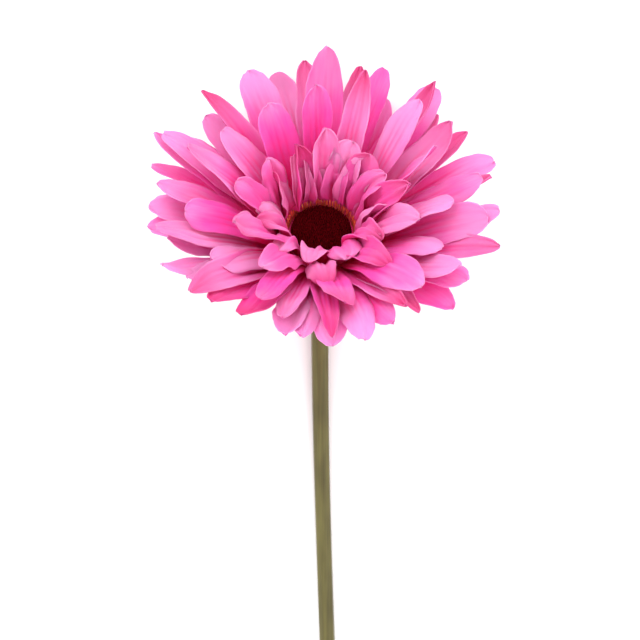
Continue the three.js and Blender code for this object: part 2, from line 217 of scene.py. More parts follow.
def midrib(petal):
    """Along the petal: its place, the way across it and the way up from its face, at each step."""
    frames = []
    place = Vector((
        petal["root_radius"] * math.cos(petal["around"]),
        petal["root_radius"] * math.sin(petal["around"]),
        petal["root_height"],
    ))
    for step in range(MIDRIB_STEPS + 1):
        s = step / MIDRIB_STEPS
        lean = petal["lean"] * math.sin(petal["around"]) * (LEAN_AT_ROOT + (1 - LEAN_AT_ROOT) * s)
        change = (petal["rise_tip"] - petal["rise_root"] + petal["curl"]) * s ** petal["bow"]
        tip = TIP_CURL * petal["tip_curl"] * smoothstep(TIP_START, 1, s)
        rise = math.radians(petal["rise_root"] + change + petal["lift"] * s + lean + tip)
        heading = petal["around"] + math.radians(petal["bend"] * s)
        roll = math.radians(petal["roll"] * s)
        outwards = Vector((math.cos(heading), math.sin(heading), 0))
        along = math.cos(rise) * outwards + Vector((0, 0, math.sin(rise)))
        level = Vector((-math.sin(heading), math.cos(heading), 0))
        across = math.cos(roll) * level + math.sin(roll) * along.cross(level)
        frames.append((place.copy(), across, along.cross(across)))
        place += along * petal["length"] / MIDRIB_STEPS
    return frames


def half_width(petal, s):
    """Half the petal's width at a share s of its length."""
    opening = math.sin(math.pi / 2 * min(1, s / petal["broadest"])) ** OPENING
    past = max(0, (s - petal["broadest"]) / (1 - petal["broadest"]))
    closing = math.sqrt(max(0, 1 - past ** petal["point"])) * (1 - petal["pinch"] * s * s)
    return petal["width"] / 2 * (petal["claw"] + (1 - petal["claw"]) * opening) * max(NARROWEST, closing)


sample = petal_of(0, 0)
print("a ray petal's width on its way, mm:", [round(2 * half_width(sample, n / 5), 1) for n in range(6)])

# %% [markdown]
# ## Grooves and crumples
#
# A maker stamps a petal from cloth and presses veins into it with a hot iron, and the cloth never stays
# quite flat. Three grooves run from the root and fade out before the tip. `noise` gives a smooth height for
# any point of space, so slow noise makes wide folds, faster noise makes crumples, and noise that grows with
# the distance from the midrib makes the edges flutter. Only the collar's petals are pleated. Displacing the
# sheet with a texture would be quicker, but the same formula also tells the finish where the grooves are.

# %% Relief of a petal
GROOVES = [(0.0, 0.09, 0.42), (0.36, 0.10, 0.34), (-0.34, 0.10, 0.34)]
GROOVE_WANDER, GROOVE_PACE = 0.12, 2
GROOVE_START, GROOVE_FADE, GROOVE_END = 0.15, 0.55, 0.95
PLEATS, PLEAT_DEPTH = 5.2, 1.0
PLEAT_START, PLEAT_FADE = 0.3, 0.7
FOLD, FOLD_FADE = 1.0, 0.5
FOLD_PACE_ACROSS, FOLD_PACE_ALONG = 2.4, 1.1
CRUMPLE = 0.8
CRUMPLE_PACE_ACROSS, CRUMPLE_PACE_ALONG = 1.5, 4.0
FLUTTER, FLUTTER_PACE, FLUTTER_APART = 1.1, 6.0, 2.0
COLLAR_CRUMPLE = 1.6


def groove(petal, s, v):
    """How deep the veins are pressed at a point of the petal, in millimetres."""
    wander = GROOVE_WANDER * noise.noise(Vector((GROOVE_PACE * s, petal["seed"], 0)))
    fade = smoothstep(0, GROOVE_START, s) * (1 - smoothstep(GROOVE_FADE, GROOVE_END, s))
    return fade * sum(depth * math.exp(-(((v - at - wander) / wide) ** 2)) for at, wide, depth in GROOVES)


def relief(petal, s, v):
    """How far the grooves, pleats, folds, crumples and the edge's flutter raise a point of the petal."""
    seed = petal["seed"]
    size = COLLAR_CRUMPLE if petal["collar"] else 1.0
    folds = noise.noise(Vector((FOLD_PACE_ACROSS * v + seed, FOLD_PACE_ALONG * s, seed)))
    crumple = noise.noise(Vector((CRUMPLE_PACE_ACROSS * v, CRUMPLE_PACE_ALONG * s, seed + 5)))
    edge = FLUTTER_APART if v > 0 else -FLUTTER_APART
    flutter = noise.noise(Vector((FLUTTER_PACE * s, edge, seed + 9)))
    pleats = math.sin(PLEATS * v + petal["wave_phase"]) if petal["collar"] else 0
    return (
        PLEAT_DEPTH * pleats * smoothstep(0, PLEAT_START, s) * (1 - PLEAT_FADE * s)
        - groove(petal, s, v)
        + size * FOLD * folds * (1 - FOLD_FADE * s)
        + size * CRUMPLE * crumple * s
        + size * FLUTTER * flutter * abs(v) ** 3 * s
    )


print("the midrib's groove on its way, mm:", [round(groove(sample, n / 5, 0), 2) for n in range(6)])

# %% [markdown]
# ## From a flat blank to a petal
#
# `create_grid` gives a flat blank, and a formula moves each of its points to its place on the bowed petal.
# The sheet is cupped, its edges wave, wander and fray, and its tip is notched. The table presses up whatever
# would hang below it, and the disc's seat pushes aside what would grow through it. Modelling each petal by
# hand would allow more character, but 89 of them would take days. A texture alone could not give their
# edges and shadows.
#
# The two edges read the noise in places of their own, so they differ. The blank is laid with its upper side
# up, so that the well dyed side is the one that faces a viewer of the bloom. Its rows stand closer together
# towards the tip, where the outline turns most.

# %% Bend a blank into a petal
WAVES, WAVE_LAG = 1.4, 2.1
PRESSED, PRESS = 0.35, 1.0
SEAT_RADIUS, SEAT_TOP = 10.9, 4.5
EDGE_WANDER, WANDER_PACE = 0.14, 5.5
FRAY, FRAY_PACE = 0.05, 21
EDGES_APART = 3.0
NOTCH, NOTCH_PACE, NOTCH_FROM = 0.022, 0.5, 0.7
CUP_FADE = 0.4
ROW_CROWDING = 1.5
PETAL_NUMBERS = ("across", "along", "across_mm", "along_mm", "tone", "blush", "groove")


def pressed(z):
    """The height of a point that the table presses up."""
    above = z - PRESSED
    return PRESSED + (above if above > PRESS else PRESS * math.exp((above - PRESS) / PRESS))


def petal_point(petal, frames, s, v):
    """A point of the petal's middle surface, in millimetres."""
    out = v * half_width(petal, s)
    bite = abs(noise.noise(Vector((NOTCH_PACE * out, petal["seed"], 7))))
    notch = NOTCH * smoothstep(NOTCH_FROM, 1, s) * bite
    steps = s * (1 - notch) * MIDRIB_STEPS
    at = min(MIDRIB_STEPS - 1, int(steps))
    share = steps - at
    place, across, up = (a.lerp(b, share) for a, b in zip(frames[at], frames[at + 1]))
    edge = EDGES_APART if v > 0 else -EDGES_APART
    cut = noise.noise(Vector((WANDER_PACE * s, edge, petal["seed"])))
    fray = noise.noise(Vector((FRAY_PACE * s, edge, petal["seed"] + 3)))
    half = half_width(petal, s) * (1 + EDGE_WANDER * cut + FRAY * fray * s)
    side = 0 if v > 0 else WAVE_LAG
    wave = petal["ruffle"] * math.sin(2 * math.pi * WAVES * s + petal["wave_phase"] + side)
    raised = half * v * v * (petal["cup"] * (1 - CUP_FADE * s) + wave * s)
    point = place + half * v * across + (raised + relief(petal, s, v)) * up
    reach = math.hypot(point.x, point.y)
    if 0 < point.z < SEAT_TOP and reach < SEAT_RADIUS:
        point.x *= SEAT_RADIUS / reach
        point.y *= SEAT_RADIUS / reach
    point = BLOOM @ point
    point.z = pressed(point.z)
    return point


def add_petal(bm, petal, columns, rows):
    """Adds one petal, with what its finish needs to know at each point."""
    numbers = bm.verts.layers.float
    layers = {name: numbers.get(name) or numbers.new(name) for name in PETAL_NUMBERS}
    frames = midrib(petal)
    blank = bmesh.ops.create_grid(bm, x_segments=columns, y_segments=rows, size=1)
    for vert in blank["verts"]:
        v = -vert.co.x
        s = 1 - (0.5 - 0.5 * vert.co.y) ** ROW_CROWDING
        place_mm = (v * half_width(petal, s), s * petal["length"])
        values = (v, s, *place_mm, petal["tone"], petal["blush"], groove(petal, s, v))
        for name, value in zip(PETAL_NUMBERS, values):
            vert[layers[name]] = value
        vert.co = petal_point(petal, frames, s, v) * MM


print("the table presses a point at 0 up to", round(pressed(0), 2), "mm")

# %% [markdown]
# ## Shader sums in Python
#
# A finish is a network of nodes, and a long network is hard to read as a picture. Here a small class stands
# for one number on a wire, and its operators add the Math nodes that they mean, so a finish reads like a
# formula. The reflected forms at the end let a plain number stand on the left, as in `2 * number`.

# %% A number on a wire
class Value:
    """A number on a wire of a finish."""

    def __init__(self, finish, socket):
        self.finish = finish
        self.socket = socket

    def __add__(self, other):
        return self.finish.math("ADD", self, other)

    def __mul__(self, other):
        return self.finish.math("MULTIPLY", self, other)

    def __sub__(self, other):
        return self.finish.math("SUBTRACT", self, other)

    def __rsub__(self, other):
        return self.finish.math("SUBTRACT", other, self)

    def __abs__(self):
        return self.finish.math("ABSOLUTE", self)

    __radd__ = __add__
    __rmul__ = __mul__


# %% [markdown]
# ## One method for every node
#
# A finish is built round one Principled shader. What is the same all over a surface, such as its roughness,
# is set on the shader's own sockets, and what varies comes from nodes. They all come from one method, which
# takes a node's type, its settings and what goes into its sockets. Colours go through Mix nodes, because a
# Math node would turn them grey. A noise's scale counts its blobs in one unit of its vector, so 600 on a
# place in metres gives patches a little under 2 mm wide.

# %% Finishes
BUMP_STRENGTH = 0.5


class Finish:
    """A material in the making, round one Principled shader."""

    def __init__(self, name, **constants):
        self.material = bpy.data.materials.new(name)
        self.material.use_nodes = True
        self.tree = self.material.node_tree
        self.shader = self.tree.nodes["Principled BSDF"]
        for socket, value in constants.items():
            self.shader.inputs[socket.replace("_", " ")].default_value = value

    def node(self, kind, settings=None, sockets=None):
        """Adds a node: its settings first, then the values or links of its sockets."""
        node = self.tree.nodes.new(kind)
        for name, value in (settings or {}).items():
            setattr(node, name, value)
        for name, value in (sockets or {}).items():
            self.feed(node.inputs[name], value)
        return node

    def feed(self, socket, value):
        """Links a socket, or sets it where the value is a plain one."""
        if isinstance(value, Value):
            self.tree.links.new(value.socket, socket)
        elif isinstance(value, bpy.types.NodeSocket):
            self.tree.links.new(value, socket)
        else:
            socket.default_value = value

    def math(self, operation, *terms):
        node = self.node("ShaderNodeMath", {"operation": operation}, dict(enumerate(terms)))
        return Value(self, node.outputs[0])

    def attribute(self, name):
        node = self.node("ShaderNodeAttribute", {"attribute_name": name})
        return Value(self, node.outputs["Fac"])

    def ramp(self, value, low, high):
        """Rises smoothly from 0 to 1 as the value goes from low to high."""
        settings = {"interpolation_type": "SMOOTHSTEP"}
        node = self.node("ShaderNodeMapRange", settings, {0: value, 1: low, 2: high})
        return Value(self, node.outputs[0])

    def noise(self, vector, scale, detail=2.0, roughness=0.5):
        sockets = {"Vector": vector, "Scale": scale, "Detail": detail, "Roughness": roughness}
        return Value(self, self.node("ShaderNodeTexNoise", sockets=sockets).outputs[0])

    def vector(self, x, y, z):
        return self.node("ShaderNodeCombineXYZ", sockets={0: x, 1: y, 2: z}).outputs[0]

    def place(self):
        """The point on the piece, in metres."""
        return self.node("ShaderNodeTexCoord").outputs["Object"]

    def mix(self, share, first, second):
        """Goes from the first colour to the second one, through the node's colour sockets, 6 and 7."""
        node = self.node("ShaderNodeMix", {"data_type": "RGBA"}, {0: share, 6: first, 7: second})
        return node.outputs[2]

    def bump(self, height, distance):
        """Shades the surface as if it were raised by height times distance, in metres."""
        sockets = {"Height": height, "Distance": distance, "Strength": BUMP_STRENGTH}
        self.feed(self.shader.inputs["Normal"], self.node("ShaderNodeBump", sockets=sockets).outputs[0])

    def colour(self, colour):
        self.feed(self.shader.inputs["Base Color"], colour)


def srgb(red, green, blue):
    """A colour from its usual numbers, 0 to 255, as the linear one that a shader works in."""
    shares = (red / 255, green / 255, blue / 255)
    return (*(c / 12.92 if c <= 0.04045 else ((c + 0.055) / 1.055) ** 2.4 for c in shares), 1)


print("a half grey is", round(srgb(128, 128, 128)[0], 3), "in linear light")

# %% [markdown]
# ## The petals' satin
#
# Dyed satin is deepest in the claw, partly where the dye pooled and partly as painted shade. Towards the tip
# it fades to a light pink with a lilac cast, and that fade is partly painted light. The iron left faint
# streaks along the petal, some tips took more dye, and the cut edges are paler. The pattern has to follow
# each petal, so it reads the shares and millimetres that every point carries. Coordinates of the object would
# run straight through all petals alike. A noise node gives numbers round 0.5, so 0.5 is taken off where a
# pattern should push both ways. A fine weave goes into the bump.
#
# Light sinks a little way into cloth, by nearly the same distance for all colours. With a red that went much
# further than the blue, as in skin, shaded petals would turn grey. The reverse of the cloth gets a darker
# satin of its own, which is deeper in colour towards the tip. It is painted shade for the side that faces
# away from the light.

# %% Petal finish
STREAK_ACROSS, STREAK_ALONG, STREAK_SHIFT = 1.4, 0.10, 40
CLOUD_ACROSS, CLOUD_ALONG, CLOUD_SHIFT = 0.16, 0.09, 17
FADE_FROM, FADE_TO, FADE_CLOUD = 0.10, 0.62, 0.30
LIT_RANGE, LIT_CLOUD, LIT_TONE, LIT_STREAK = 0.66, 0.5, 0.30, 0.25
GROOVE_SHADE = 1.3
TIP_FROM, TIP_TO, TIP_STREAK, TIP_DYE = 0.64, 0.98, 0.12, 0.85
RIM_FROM, RIM_ROOT, RIM_FULL, RIM_DYE = 0.90, 0.3, 0.6, 0.04
RIM_COLOUR = (1.0, 0.62, 0.80, 1)
WEAVE, WEAVE_BUMP, STREAK_BUMP = 0.42, 0.5, 1.5
BUMP_HEIGHT = 0.00006


def petal_finish(name, deep, body, light, blush, lit_from=0.34):
    """Satin from the deep colour in the claw to the light one, with dark tips of the blush colour. The deep
    colour is partly painted shade, and the light one is partly painted light.
    """
    finish = Finish(
        name, Roughness=0.62, Specular_IOR_Level=0.2, Sheen_Weight=0.04, Sheen_Roughness=0.4,
        Subsurface_Weight=0.5, Subsurface_Scale=0.001, Subsurface_Radius=(1.0, 0.8, 0.9)
    )
    across, along = finish.attribute("across"), finish.attribute("along")
    across_mm, along_mm = finish.attribute("across_mm"), finish.attribute("along_mm")
    tone = finish.attribute("tone")
    streak_at = finish.vector(across_mm * STREAK_ACROSS, along_mm * STREAK_ALONG, tone * STREAK_SHIFT)
    streaks = finish.noise(streak_at, 1.0, 3.0, 0.6)
    cloud_at = finish.vector(across_mm * CLOUD_ACROSS, along_mm * CLOUD_ALONG, tone * CLOUD_SHIFT)
    cloud = finish.noise(cloud_at, 1.0, 1.0)

    # Deeper towards the root, partly dye and partly painted shade; lighter towards the tip, partly painted
    # light.
    fade = finish.ramp(along + FADE_CLOUD * (cloud - 0.5), FADE_FROM, FADE_TO)
    colour = finish.mix(fade, deep, body)
    brighter = along + LIT_CLOUD * (cloud - 0.5) + LIT_TONE * tone + LIT_STREAK * (streaks - 0.5)
    colour = finish.mix(finish.ramp(brighter, lit_from, lit_from + LIT_RANGE), colour, light)
    # Painted shade: the colour goes towards the deep one in the pressed grooves.
    colour = finish.mix(finish.attribute("groove") * GROOVE_SHADE, colour, deep)
    near_tip = finish.ramp(along + TIP_STREAK * (streaks - 0.5), TIP_FROM, TIP_TO)
    tipped = finish.attribute("blush") * near_tip
    colour = finish.mix(tipped * TIP_DYE, colour, blush)
    rim = finish.ramp(abs(across), RIM_FROM, 1.0) * finish.ramp(along, RIM_ROOT, RIM_FULL)
    finish.colour(finish.mix(rim * RIM_DYE, colour, RIM_COLOUR))

    turn = 2 * math.pi / WEAVE
    weave = finish.math("SINE", across_mm * turn) * finish.math("SINE", along_mm * turn)
    finish.bump(weave * WEAVE_BUMP + streaks * STREAK_BUMP, BUMP_HEIGHT)
    return finish.material


# Each satin's deep colour is partly painted shade, and its light colour is partly painted light.
ray_satin = petal_finish(
    "ray_satin", srgb(250, 6, 112), srgb(230, 68, 160), srgb(228, 134, 190), srgb(196, 22, 98)
)
collar_satin = petal_finish(
    "collar_satin", srgb(238, 46, 134), srgb(224, 82, 158), srgb(226, 130, 182), srgb(194, 30, 106),
    lit_from=0.36
)
# The reverse: a darker copy of the satin, painted shade for the side turned away from the light.
under_satin_shaded = petal_finish(
    "under_satin_shaded", srgb(224, 24, 114), srgb(216, 50, 138), srgb(216, 88, 162), srgb(180, 26, 94)
)
print("satins:", ray_satin.name, collar_satin.name, under_satin_shaded.name)

# %% [markdown]
# ## Cutting the petals
#
# Each layer is one piece: its petals share a finish and never move against each other. A thin sheet needs a
# little body, or its edges vanish when they face the eye. Solidify gives every petal the thickness of cloth
# and closes its rim, and it stays a modifier, so the thickness is one number to change. Its material offset
# of 1 gives the new side the next material in the list, which is how the reverse gets its own darker satin, a
# painted shade.

# %% Make a piece
CLOTH = 0.28


def make_piece(bm, name, node, material, thickness=0.0, extra=None):
    """Turns a bmesh in metres into a piece that stands for a node of the solid model."""
    mesh = bpy.data.meshes.new(name)
    bm.to_mesh(mesh)
    bm.free()
    mesh.polygons.foreach_set("use_smooth", [True] * len(mesh.polygons))
    mesh.materials.append(material)
    if extra:
        mesh.materials.append(extra)
    piece = bpy.data.objects.new(name, mesh)
    bpy.context.scene.collection.objects.link(piece)
    if thickness:
        body = piece.modifiers.new("cloth", "SOLIDIFY")
        body.thickness = thickness * MM
        body.offset = 0
        body.material_offset = 1 if extra else 0
    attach(piece, "root")
    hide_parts(node)
    print(name, len(mesh.polygons), "faces")


# %% [markdown]
# ## The six layers
#
# Now the blanks are cut and bent. A blank needs enough points for its finest crumple: 18 strips across and
# 42 along are enough for a ray petal, and the short petals of the collar get by with 28 along.

# %% The six layers
NAMES = ("rays_outer", "rays_second", "rays_third", "rays_fourth", "collar_outer", "collar_inner")

for k, name in enumerate(NAMES):
    collar = k >= COLLAR
    bm = bmesh.new()
    for i in range(LAYERS[k]["count"]):
        add_petal(bm, petal_of(k, i), columns=18, rows=28 if collar else 42)
    satin = collar_satin if collar else ray_satin
    make_piece(bm, name, "petals", satin, CLOTH, extra=under_satin_shaded)

# %% [markdown]
# ## The hub
#
# Behind the disc all the petals are gathered on a small cushion. Little of it shows, but without it one
# could look between the claws straight through the flower. A few points make its profile. More points are
# set between them, all but the two ends are smoothed, and `spin` turns the profile once about the axis of
# the face. The ends stay on the axis, so that their copies merge into one point each and close the poles.

# %% Turn a profile
HUB_PROFILE = [(0, -9), (8, -9), (11.4, -7), (13.2, -3.6), (13.9, -1.2), (13.2, 0.2), (11, 0.4), (0, 0)]
POINTS_BETWEEN = 2
TURN_STEPS = 64
MERGED = 0.001


def turned(profile):
    """A solid of revolution about the axis of the bloom, from (radius, height) points."""
    bm = bmesh.new()
    verts = [bm.verts.new((radius, 0, height)) for radius, height in profile]
    for first, second in zip(verts, verts[1:]):
        bm.edges.new((first, second))
    bmesh.ops.subdivide_edges(bm, edges=bm.edges[:], cuts=POINTS_BETWEEN)
    between = [vert for vert in bm.verts if len(vert.link_edges) == 2]
    bmesh.ops.smooth_vert(bm, verts=between, factor=0.5, use_axis_x=True, use_axis_y=True, use_axis_z=True)
    geometry = bm.verts[:] + bm.edges[:]
    bmesh.ops.spin(bm, geom=geometry, cent=(0, 0, 0), axis=(0, 0, 1), angle=2 * math.pi, steps=TURN_STEPS,
                   use_merge=True)
    bmesh.ops.remove_doubles(bm, verts=bm.verts[:], dist=MERGED)
    bmesh.ops.recalc_face_normals(bm, faces=bm.faces[:])
    return bm


def seat_in_bloom(bm):
    """Carries a mesh from the bloom's own frame to its place."""
    bmesh.ops.transform(bm, matrix=Matrix.Scale(MM, 4) @ BLOOM, verts=bm.verts[:])
    return bm


hub_finish = Finish("hub_satin", Roughness=0.8)
patches = hub_finish.noise(hub_finish.place(), 600.0)
hub_finish.colour(hub_finish.mix(patches, srgb(220, 16, 92), srgb(236, 44, 126)))
make_piece(seat_in_bloom(turned(HUB_PROFILE)), "petal_hub", "petals", hub_finish.material)

# %% [markdown]
# ## The velvet disc
#
# The heart of the flower is a low dark dome. Velvet drinks the light, so its finish has no shine at all,
# and a fine noise between two dark reds stands for its pile.

# %% Disc
DISC_RADIUS = 9.2
DISC_PROFILE = [
    (0, GAP), (DISC_RADIUS, GAP), (DISC_RADIUS, 1.3), (8.2, 2.1), (6.0, 2.7), (3.0, 2.8), (0, 2.5)
]
PILE_FROM, PILE_TO = 0.3, 0.7

velvet_finish = Finish("disc_velvet", Roughness=1.0, Specular_IOR_Level=0.0)
pile = velvet_finish.noise(velvet_finish.place(), 1400.0, 3.0)
raised = velvet_finish.ramp(pile, PILE_FROM, PILE_TO)
velvet_finish.colour(velvet_finish.mix(raised, srgb(68, 3, 9), srgb(96, 5, 14)))
disc_velvet = velvet_finish.material
make_piece(seat_in_bloom(turned(DISC_PROFILE)), "disc_dome", "disc", disc_velvet)

# %% [markdown]
# ## The buds
#
# The dome is thick with hundreds of tiny buds. They grow where a seed head puts them: each one a golden
# angle further round than the last, and further out by the square root of its number, which spaces them
# evenly. Each is a small cone, leaning its own way. Instances would be lighter, but cones of five sides are
# light enough to be real geometry, which any program can read.

# %% Buds
BUDS = 900
GOLDEN_ANGLE = math.radians(137.508)
BUD_MARGIN = 0.35
BUD_FOOT, BUD_TOP = 0.34, 0.10
BUD_HEIGHT, BUD_HEIGHT_SPREAD = 1.3, 0.35
BUD_LEAN = 0.30
BUD_MIDDLE = 0.45
BUD_DRAWS = 20


def dome_height(radius):
    """The height of the dome's surface at a radius."""
    outwards = DISC_PROFILE[:1:-1]
    for (r0, z0), (r1, z1) in zip(outwards, outwards[1:]):
        if radius <= r1:
            return z0 + (z1 - z0) * (radius - r0) / (r1 - r0)
    return DISC_PROFILE[2][1]


bm = bmesh.new()
for n in range(BUDS):
    radius = (DISC_RADIUS - BUD_MARGIN) * math.sqrt((n + 0.5) / BUDS)
    around = n * GOLDEN_ANGLE
    tall = BUD_HEIGHT + BUD_HEIGHT_SPREAD * draw(BUD_DRAWS, n, 0)
    forwards = Matrix.Rotation(BUD_LEAN * draw(BUD_DRAWS, n, 1), 4, "X")
    sideways = Matrix.Rotation(BUD_LEAN * draw(BUD_DRAWS, n, 2), 4, "Y")
    height = dome_height(radius) + BUD_MIDDLE * tall
    at = Matrix.Translation((radius * math.cos(around), radius * math.sin(around), height))
    bmesh.ops.create_cone(bm, cap_ends=True, segments=5, radius1=BUD_FOOT, radius2=BUD_TOP, depth=tall,
                          matrix=at @ forwards @ sideways)
make_piece(seat_in_bloom(bm), "disc_buds", "disc", disc_velvet)

# %% [markdown]
# ## The fringe
#
# Round the velvet stands a ring of short golden threads, red at the foot. Each is a thin cone with two rings
# of points between its ends, so that a formula can bend its tip outwards. `subdivide_edges` replaces points
# as it cuts, which leaves stale references behind. So the thread's points are looked up afresh: they are
# all those past the number of points that were there before it.

# %% Fringe
FILAMENTS = 260
FILAMENT_FOOT, FILAMENT_TOP = 0.13, 0.065
FILAMENT_HEIGHT, FILAMENT_HEIGHT_SPREAD = 3.2, 0.55
FILAMENT_RINGS = 2
FILAMENT_FLARE = 0.45
FRINGE_ROOM = 0.5
FRINGE_RADIUS, FRINGE_SPREAD = DISC_RADIUS + GAP + FRINGE_ROOM, 0.35
AROUND_SPREAD, LEAN_SPREAD = 0.4, 0.25
FRINGE_DRAWS = 21
WARM_FROM, WARM_TO = 0.3, 0.8
GOLD_FROM, GOLD_TO, GOLD_SPECKLE = 0.85, 1.15, 1.6


def add_filament(bm, n):
    """One thread of the fringe, in the bloom's frame."""
    around = 2 * math.pi * (n + AROUND_SPREAD * draw(FRINGE_DRAWS, n, 0)) / FILAMENTS
    foot = FRINGE_RADIUS + FRINGE_SPREAD * draw(FRINGE_DRAWS, n, 1)
    tall = FILAMENT_HEIGHT + FILAMENT_HEIGHT_SPREAD * draw(FRINGE_DRAWS, n, 2)
    leaning = LEAN_SPREAD * draw(FRINGE_DRAWS, n, 3)
    along = bm.verts.layers.float.get("along") or bm.verts.layers.float.new("along")
    verts_before = len(bm.verts)
    edges_before = len(bm.edges)
    bmesh.ops.create_cone(bm, cap_ends=True, segments=4, radius1=FILAMENT_FOOT, radius2=FILAMENT_TOP, depth=1)
    edges = bm.edges[edges_before:]
    upright = [edge for edge in edges if abs(edge.verts[0].co.z - edge.verts[1].co.z) > 0.5]
    bmesh.ops.subdivide_edges(bm, edges=upright, cuts=FILAMENT_RINGS)
    bm.verts.ensure_lookup_table()
    for vert in bm.verts[verts_before:]:
        up = vert.co.z + 0.5
        out = foot + vert.co.x + FILAMENT_FLARE * up * up
        angle = around + (vert.co.y + leaning * up) / foot
        vert[along] = up
        vert.co = (out * math.cos(angle), out * math.sin(angle), GAP + up * tall)


fringe_finish = Finish(
    "fringe_thread", Roughness=0.6, Sheen_Weight=1.0, Sheen_Roughness=0.6, Sheen_Tint=(1.0, 0.24, 0.12, 1)
)
rising = fringe_finish.attribute("along")
speckle = fringe_finish.noise(fringe_finish.place(), 900.0)
warmth = fringe_finish.ramp(rising, WARM_FROM, WARM_TO)
warm = fringe_finish.mix(warmth, srgb(190, 14, 18), srgb(250, 76, 50))
gold = fringe_finish.ramp(rising + GOLD_SPECKLE * (speckle - 0.5), GOLD_FROM, GOLD_TO)
fringe_finish.colour(fringe_finish.mix(gold, warm, srgb(255, 168, 96)))

bm = bmesh.new()
for n in range(FILAMENTS):
    add_filament(bm, n)
make_piece(seat_in_bloom(bm), "fringe_filaments", "disc_fringe", fringe_finish.material)

# %% [markdown]
# ## The calyx
#
# A green cup holds the petals from behind, in two rows of pointed bracts. The cup is turned like the hub,
# and the bracts are blanks bent by the same formula as the petals, only shorter, stiffer and sharper.

# %% Calyx
CALYX_PROFILE = [
    (0, -CALYX_DEPTH), (3.3, -CALYX_DEPTH), (5.6, -15), (8.2, -12.8), (9.6, -10.6), (9.8, -9.3), (0, -9.3)
]
BRACTS = [
    dict(count=14, phase=0.0, root_radius=8.4, root_height=-10.6, length=9.6, width=4.4, rise_root=28,
         rise_tip=46),
    dict(count=10, phase=0.5, root_radius=7.0, root_height=-12.8, length=7.4, width=4.0, rise_root=34,
         rise_tip=56),
]
BRACT_THICKNESS = 0.8
BRACT_DRAWS = 22
BRACT_SEED = 3.1


def bract_of(row, i):
    """The traits of bract i of one row: a petal with no waves."""
    around = 2 * math.pi / row["count"] * (i + row["phase"])
    still = dict(lift=0, curl=0, roll=0, bend=0, bow=1, lean=0, ruffle=0, wave_phase=0, tip_curl=0)
    shape = dict(claw=0.85, broadest=0.3, point=1.3, cup=0.25, pinch=0, collar=False)
    own = dict(around=around, tone=draw(BRACT_DRAWS, i, 0), blush=0, seed=BRACT_SEED * i)
    return {**row, **still, **shape, **own}


leaf_finish = Finish("calyx_green", Roughness=0.6)
mottle = leaf_finish.noise(leaf_finish.place(), 300.0, 3.0)
leaf_finish.colour(leaf_finish.mix(mottle, srgb(84, 96, 40), srgb(134, 146, 78)))
leaf_finish.bump(leaf_finish.noise(leaf_finish.place(), 1500.0), 0.0001)

make_piece(seat_in_bloom(turned(CALYX_PROFILE)), "calyx_cup", "calyx", leaf_finish.material)
bm = bmesh.new()
for row in BRACTS:
    for i in range(row["count"]):
        add_petal(bm, bract_of(row, i), columns=6, rows=12)
make_piece(bm, "calyx_bracts", "calyx", leaf_finish.material, BRACT_THICKNESS)

# %% [markdown]
# ## The stem's route
#
# A gerbera's stem carries no leaves: it is a round, slightly ribbed rod that bends from the table up to the
# calyx, sways a little on its way and is thinnest about a third of the way along. Its route is walked like
# a petal's midrib, from the calyx to the cut end.

# %% The stem's route
STEM_LENGTH = 339
STEM_WAIST = 2.45
WAISTED = 0.7
STEM_SWAY = math.radians(2)
SWAY_TURN = 1.6 * math.pi
NECK_LENGTH = NECK_RADIUS * NECK_TURN


def stem_radius(gone):
    """The stem's radius at a distance from the calyx."""
    share = min(1, gone / STEM_LENGTH / WAISTED)
    return STEM_RADIUS + (STEM_WAIST - STEM_RADIUS) * math.sin(math.pi * share)


def stem_directions(gone):
    """The ways along the stem, level across it and up from it, at a distance from the calyx."""
    unbent = max(0, 1 - gone / NECK_LENGTH)
    lying = max(0, gone - NECK_LENGTH) / (STEM_LENGTH - NECK_LENGTH)
    pitch = -NECK_TURN * unbent
    heading = FACE_TURN * unbent - STEM_SWAY * math.sin(SWAY_TURN * lying)
    forwards = Vector((math.sin(heading), math.cos(heading), 0))
    along = math.cos(pitch) * forwards + Vector((0, 0, math.sin(pitch)))
    level = Vector((math.cos(heading), -math.sin(heading), 0))
    return along, level, level.cross(along)


print("the neck's bend takes", round(NECK_LENGTH, 1), "mm of", STEM_LENGTH)

# %% [markdown]
# ## The stem's skin
#
# The skin is a dull olive with fine lines along it. The stem lies along y, so a noise that is read slowly
# along y and fast across it gives long thin lines. The cut face is paler and gets a finish of its own.

# %% Stem finishes
LINE_ACROSS, LINE_ALONG = 900, 22
BLOTCH_ACROSS, BLOTCH_ALONG = 160, 60
SHADE_SHARE = 0.6
SHADE_FROM, SHADE_TO = 0.35, 0.85

stem_finish = Finish(
    "stem_skin", Roughness=0.5, Specular_IOR_Level=0.35, Sheen_Weight=0.7, Sheen_Roughness=0.3
)
axes = stem_finish.node("ShaderNodeSeparateXYZ", sockets={0: stem_finish.place()}).outputs
x, y, z = (Value(stem_finish, axis) for axis in axes)
line_at = stem_finish.vector(x * LINE_ACROSS, y * LINE_ALONG, z * LINE_ACROSS)
lines = stem_finish.noise(line_at, 1.0, 3.0, 0.6)
blotch_at = stem_finish.vector(x * BLOTCH_ACROSS, y * BLOTCH_ALONG, z * BLOTCH_ACROSS)
blotches = stem_finish.noise(blotch_at, 1.0, 2.0)
shade = stem_finish.ramp(SHADE_SHARE * lines + SHADE_SHARE * blotches, SHADE_FROM, SHADE_TO)
stem_finish.colour(stem_finish.mix(shade, srgb(73, 66, 30), srgb(103, 97, 50)))
stem_finish.bump(lines, 0.0001)

cut_finish = Finish("stem_cut_face", Roughness=0.7)
rings = cut_finish.noise(cut_finish.place(), 1800.0, 2.0)
cut_finish.colour(cut_finish.mix(rings, srgb(150, 158, 96), srgb(196, 200, 148)))
print("finishes:", stem_finish.material.name, cut_finish.material.name)

